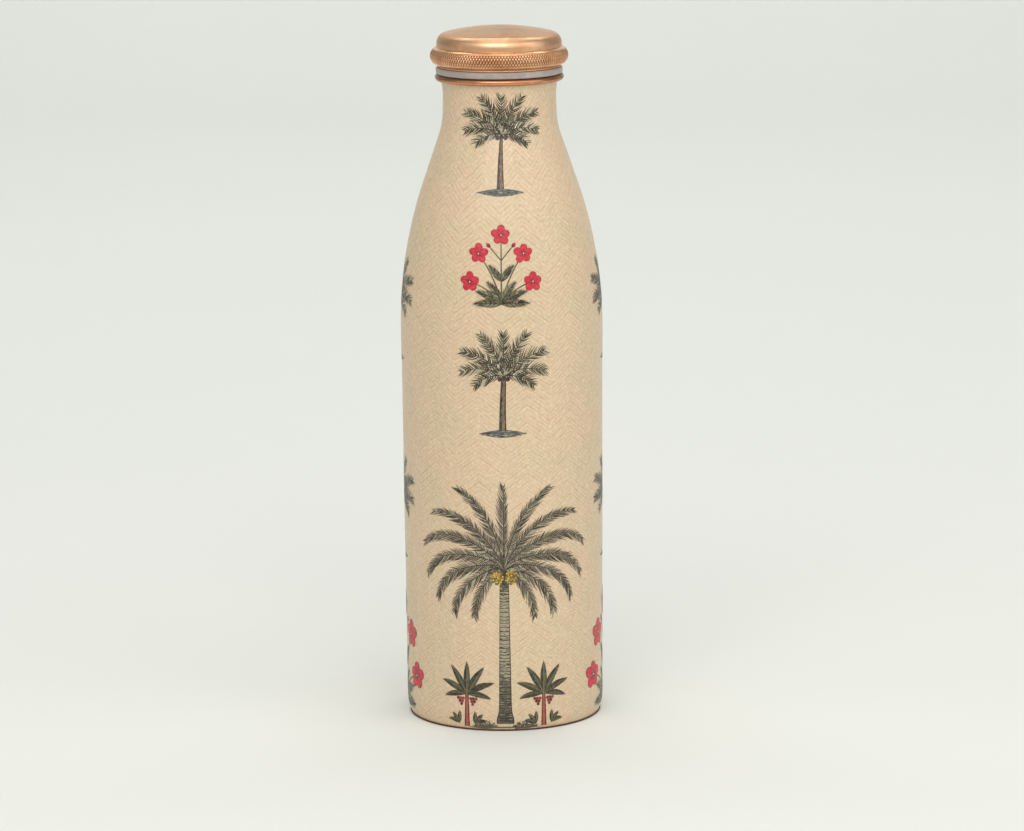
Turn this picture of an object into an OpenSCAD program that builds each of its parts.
// Copper water bottle with a printed wrap and a screw cap.
// +Z is up, the origin is the centre of the foot, and -Y is the front of the print.
// Every piece is a body of revolution about Z, and only the two threads break the symmetry.

/* [Body] */
// Greatest radius of the bottle, over the print
body_r = 38.5; // [37:0.5:42]
// How much narrower the wall is just above the foot than at its widest
wall_taper = 0.85; // [0:0.05:1.5]
// Height of the widest point
belly_z = 151.5; // [120:0.5:160]
// Radius of the long convex curve of the shoulder
shoulder_arc_r = 167; // [150:1:172]
// Lean of the straight cone under the neck, in degrees
shoulder_lean = 18.9; // [17:0.1:19.5]
// Radius of the concave curve where the cone turns up into the neck
neck_arc_r = 29; // [22:1:34]
// Radius of the neck, over the print
neck_r = 21.65; // [20.5:0.05:22.5]
// Height of the neck, from the end of its curve to the lip
neck_h = 11.25; // [9:0.05:14]
// Thickness of the drawn copper wall
shell_t = 0.7; // [0.5:0.1:0.9]
// Thickness of the printed and lacquered wrap
print_t = 0.15; // [0.1:0.05:0.3]

/* [Foot] */
// Height of the plain copper rim that shows under the print
foot_rim_h = 0.6; // [0.5:0.1:1.5]
// Height at which the wall starts to curve in to the foot
foot_curve_z = 6; // [5:0.5:9]
// Radius of that curve
foot_curve_r = 12.5; // [11:0.5:16]
// Clear height under the pressed-in middle of the base
recess_h = 3.4; // [2.5:0.1:4]
// Height of the skirt that is brazed inside the wall
skirt_h = 10; // [9:0.5:15]
// Thickness of the base, the plug and the dome
sheet_t = 0.8; // [0.6:0.1:1]

/* [Mouth] */
// Radius of the lip
lip_r = 24.4; // [24.2:0.1:26]
// Height of the lip
lip_h = 2.5; // [2.5:0.1:4]
// Wall thickness of the threaded sleeve inside the neck
sleeve_t = 0.75; // [0.6:0.05:0.9]

/* [Thread] */
// Rise of the cap for one turn
thread_pitch = 4; // [4:0.5:5]
// Height of a thread ridge, on the sleeve and on the plug
thread_h = 1; // [0.8:0.1:1]
// Radial gap from a ridge's crest to the wall that it faces
thread_gap = 0.4; // [0.35:0.05:0.5]
// Turns of thread on the plug
plug_turns = 2.5; // [2:0.25:2.5]
// Turns of thread in the sleeve
sleeve_turns = 2; // [1.5:0.25:2]

/* [Cap] */
// Greatest radius of the grip ring, over its knurl
grip_r = 26.15; // [26:0.05:28]
// Radius of the grip ring's round section
grip_arc_r = 3.6; // [3.5:0.05:4]
// Radius of the dome's side wall
dome_r = 23.7; // [23.4:0.05:24.2]
// Height of the dome's upright side wall
dome_side_h = 1.3; // [1:0.1:4]
// Radius of the rounded edge between the side wall and the crown
dome_edge_r = 4; // [2.5:0.1:5]
// Slope of the crown at its edge, in degrees
crown_slope = 13.5; // [8:0.5:18]
// Length of the plug below the seal's upper face
plug_l = 17.75; // [17:0.25:19]

/* [Seal] */
// Radius of the silicone seal
seal_r = 24; // [23.5:0.1:24.5]
// Thickness of the seal
seal_t = 2.55; // [2:0.05:3]

/* [Hidden] */

$fn = 120;
braze_gap = 0.05;       // room for the filler metal in a brazed joint
touch_gap = 0.05;       // between the seal and the metal on either side of it
thread_facets = 48;     // for one turn
thread_root_w = 2.2;    // width of a ridge at its foot
thread_crest_w = 1.1;   // width of a ridge at its crest
thread_sink = 0.3;      // how far a ridge's foot goes into the wall that carries it
thread_fade = 1 / 8;    // turns over which a ridge grows to its full size at each end
thread_end = 0.35;      // its size where it starts, as a share of full size
flare_w = 0.65;         // how far the top of the neck opens out under the lip
flare_h = 3;
flare_half = 0.3;       // share of that width at half its height
foot_rings = 5;         // steps in the outline of the foot's curve
foot_edge = 0.45;       // rounding of the foot's outer edge
foot_flat_w = 2.1;      // width of the ring that the bottle stands on
foot_bend_w = 1.2;      // bend from that ring up to the middle of the base
foot_bend_h = 0.7;
foot_lean = 0.4;        // how far the ring's inner wall leans in
base_fillet = 1;        // inside, where the base meets the skirt
seal_inner_gap = 0.4;   // between the seal and the plug
flange_r = 23.45;       // plug's flange, which bears on the seal
grip_inner_r = 22.2;
bead_cut = 0.2;         // how far the grip ring's round section is cut flat below
spigot_h = 1.6;         // how far the grip ring reaches up inside the dome
sleeve_reach = 0.5;     // how far the sleeve ends below the plug
thread_rise = 2.4;      // from the end of the plug to the start of its thread
plug_corner = 1.2;      // rounding of the plug's closed end, outside
plug_fillet = 0.6;      // and inside

// Radii and heights that follow from the sizes above
shell_d = print_t + shell_t;
foot_wall_r = body_r - wall_taper;
shoulder_end_r = body_r - shoulder_arc_r * (1 - cos(shoulder_lean));
shoulder_end_z = belly_z + shoulder_arc_r * sin(shoulder_lean);
cone_end_r = neck_r + neck_arc_r * (1 - cos(shoulder_lean));
cone_end_z = shoulder_end_z + (shoulder_end_r - cone_end_r) / tan(shoulder_lean);
neck_z = cone_end_z + neck_arc_r * sin(shoulder_lean);
lip_z = neck_z + neck_h;
mouth_z = lip_z + lip_h;
seal_z = mouth_z + touch_gap;
flange_z = seal_z + seal_t + touch_gap;
grip_z = flange_z + sheet_t;
sleeve_outer_r = neck_r - shell_d - braze_gap;
sleeve_inner_r = sleeve_outer_r - sleeve_t;
plug_r = sleeve_inner_r - thread_gap - thread_h;
plug_z = flange_z - plug_l;
sleeve_z = plug_z - sleeve_reach;
plug_thread_z = plug_z + thread_rise;
sleeve_thread_z = plug_thread_z + thread_pitch / 2;
grip_arc_z = grip_z + grip_arc_r - bead_cut;
dome_z = grip_arc_z + sqrt(pow(grip_arc_r, 2) - pow(dome_r - grip_r + grip_arc_r, 2));
edge_z = dome_z + dome_side_h;
crown_r = (dome_r - dome_edge_r * (1 - sin(crown_slope))) / sin(crown_slope);

function reversed(list) = [for (i = [len(list) - 1 : -1 : 0]) list[i]];

// Points of an arc about [r, z], from angle a0 to a1 in n steps
function arc(r, z, radius, a0, a1, n) =
    [for (i = [0 : n]) let (a = a0 + (a1 - a0) * i / n) [r + radius * cos(a), z + radius * sin(a)]];

// Radius of the wall at height z, d inside the printed surface, from the foot to the belly
function lower_r(z, d) =
    z < foot_curve_z
    ? foot_wall_r - foot_curve_r + sqrt(pow(foot_curve_r - d, 2) - pow(foot_curve_z - z, 2))
    : foot_wall_r - d + wall_taper * (z - foot_curve_z) / (belly_z - foot_curve_z);

// Outline of the curve above the foot's rim, d inside the printed surface
function foot_outline(d) =
    [for (i = [0 : foot_rings])
        let (z = foot_rim_h + (foot_curve_z - foot_rim_h) * i / foot_rings) [lower_r(z, d), z]];

// Outline of the wall from foot to lip, d inside the printed surface
function wall_outline(d) = concat(
    foot_outline(d),
    arc(body_r - shoulder_arc_r, belly_z, shoulder_arc_r - d, 0, shoulder_lean, 12),
    arc(neck_r + neck_arc_r, neck_z, neck_arc_r + d, 180 + shoulder_lean, 180, 6),
    [[neck_r - d, lip_z - flare_h],
     [neck_r + flare_w * flare_half - d, lip_z - flare_h / 2],
     [neck_r + flare_w - d, lip_z]]);

// Solid of revolution between two outlines that run the same way
module turned_between(outer, inner) {
    rotate_extrude() polygon(concat(outer, reversed(inner)));
}

// Right-handed thread ridge on a wall of radius wall_r that starts at height z.
// side is 1 for a ridge that points outwards and -1 for one that points inwards.
// Its foot is sunk into the wall, and it tapers at both ends.
module thread_ridge(wall_r, side, z, turns) {
    steps = round(turns * thread_facets);
    root = wall_r - side * thread_sink;
    root_w = thread_crest_w + (thread_root_w - thread_crest_w) * (1 + thread_sink / thread_h);
    points = [for (i = [0 : steps])
        let (turn = i / thread_facets,
             a = 360 * turn,
             mid = z + thread_pitch * turn,
             share = max(thread_end, min(1, turn / thread_fade, (turns - turn) / thread_fade)),
             crest = wall_r + side * thread_h * share)
        for (p = [[root, -root_w * share], [crest, -thread_crest_w * share],
                  [crest, thread_crest_w * share], [root, root_w * share]])
            [p[0] * cos(a), p[0] * sin(a), mid + p[1] / 2]];
    sides = [for (i = [0 : steps - 1], k = [0 : 3])
        let (here = 4 * i + k, next = 4 * i + (k + 1) % 4)
        for (face = [[here, next, next + 4], [here, next + 4, here + 4]])
            side > 0 ? face : reversed(face)];
    first = [0, 1, 2, 3];
    last = [for (k = first) 4 * steps + k];
    ends = side > 0 ? [reversed(first), last] : [first, reversed(last)];
    polyhedron(points = points, faces = concat(ends, sides), convexity = 8);
}

// Drawn and spun copper wall, open at the foot and at the neck
module bottle_shell() {
    color([0.78, 0.50, 0.36])
        turned_between(wall_outline(print_t), wall_outline(shell_d));
}

// Pressed base with a raised middle, a folded foot and a skirt brazed inside the wall
module base_cup() {
    d = shell_d + braze_gap;
    rim_r = lower_r(foot_rim_h, print_t);
    flat_r = rim_r - foot_edge - foot_flat_w;
    skirt_top_r = lower_r(skirt_h, d);
    floor_z = recess_h + sheet_t;
    color([0.72, 0.45, 0.32])
        rotate_extrude() polygon(concat(
            [[0, recess_h], [flat_r - foot_bend_w, recess_h],
             [flat_r - foot_lean, recess_h - foot_bend_h], [flat_r, 0],
             [rim_r - foot_edge, 0], [rim_r, foot_edge], [rim_r, foot_rim_h]],
            foot_outline(d),
            [[skirt_top_r, skirt_h], [skirt_top_r - sheet_t, skirt_h],
             [lower_r(floor_z + base_fillet, d) - sheet_t, floor_z + base_fillet],
             [lower_r(floor_z, d) - sheet_t - base_fillet, floor_z], [0, floor_z]]));
}

// Lip and threaded sleeve in one piece, brazed into the neck
module mouth_ring() {
    upper = 1.3;
    under = 1.15;
    inner = 0.9;
    color([0.80, 0.52, 0.37]) {
        rotate_extrude() polygon(concat(
            [[sleeve_inner_r, sleeve_z], [sleeve_outer_r, sleeve_z], [sleeve_outer_r, lip_z]],
            arc(lip_r - under, lip_z + under, under, -90, 0, 5),
            arc(lip_r - upper, mouth_z - upper, upper, 0, 90, 5),
            arc(sleeve_inner_r + inner, mouth_z - inner, inner, 90, 180, 3)));
        thread_ridge(sleeve_inner_r, -1, sleeve_thread_z, sleeve_turns);
    }
}

// Printed and lacquered film over the whole wall, from the foot's rim to the lip
module printed_wrap() {
    color([0.85, 0.77, 0.64])
        turned_between(wall_outline(0), wall_outline(print_t));
}

// Flat silicone ring between the lip and the cap
module seal_ring() {
    edge = 0.7;
    inner_r = plug_r + seal_inner_gap;
    color([0.84, 0.82, 0.80])
        rotate_extrude() polygon(concat(
            [[inner_r, seal_z + seal_t], [inner_r, seal_z]],
            arc(seal_r - edge, seal_z + edge, edge, -90, 0, 3),
            arc(seal_r - edge, seal_z + seal_t - edge, edge, 0, 90, 3)));
}

// Pressed copper cup with a rolled thread, closed below, with the flange that bears on the seal
module thread_plug() {
    color([0.76, 0.49, 0.35]) {
        rotate_extrude() polygon(concat(
            [[0, plug_z]],
            arc(plug_r - plug_corner, plug_z + plug_corner, plug_corner, -90, 0, 4),
            [[plug_r, flange_z], [flange_r, flange_z], [flange_r, grip_z],
             [plug_r - sheet_t, grip_z], [plug_r - sheet_t, plug_z + sheet_t + plug_fillet],
             [plug_r - sheet_t - plug_fillet, plug_z + sheet_t], [0, plug_z + sheet_t]]));
        thread_ridge(plug_r, 1, plug_thread_z, plug_turns);
    }
}

// Round-sectioned ring that carries the knurl, with a spigot that locates the dome
module grip_ring() {
    bead_c = grip_r - grip_arc_r;
    low = asin((grip_z - grip_arc_z) / grip_arc_r);
    high = asin((dome_z - grip_arc_z) / grip_arc_r);
    spigot_r = dome_r - sheet_t - braze_gap;
    color([0.68, 0.46, 0.32])
        rotate_extrude() polygon(concat(
            [[grip_inner_r, grip_z]],
            arc(bead_c, grip_arc_z, grip_arc_r, low, high, 12),
            [[spigot_r, dome_z], [spigot_r, dome_z + spigot_h], [grip_inner_r, dome_z + spigot_h]]));
}

// Outline of the dome from its rim to its apex, d inside the outer surface
function dome_outline(d) = concat(
    [[dome_r - d, dome_z]],
    arc(dome_r - dome_edge_r, edge_z, dome_edge_r - d, 0, 90 - crown_slope, 6),
    [for (i = [1 : 6])
        let (a = crown_slope * (1 - i / 6),
             crown_c = edge_z + dome_edge_r * cos(crown_slope) - crown_r * cos(crown_slope))
        [(crown_r - d) * sin(a), crown_c + (crown_r - d) * cos(a)]]);

// Pressed copper top
module cap_dome() {
    color([0.85, 0.58, 0.43])
        turned_between(dome_outline(0), dome_outline(sheet_t));
}

bottle_shell();
base_cup();
mouth_ring();
printed_wrap();
seal_ring();
thread_plug();
grip_ring();
cap_dome();
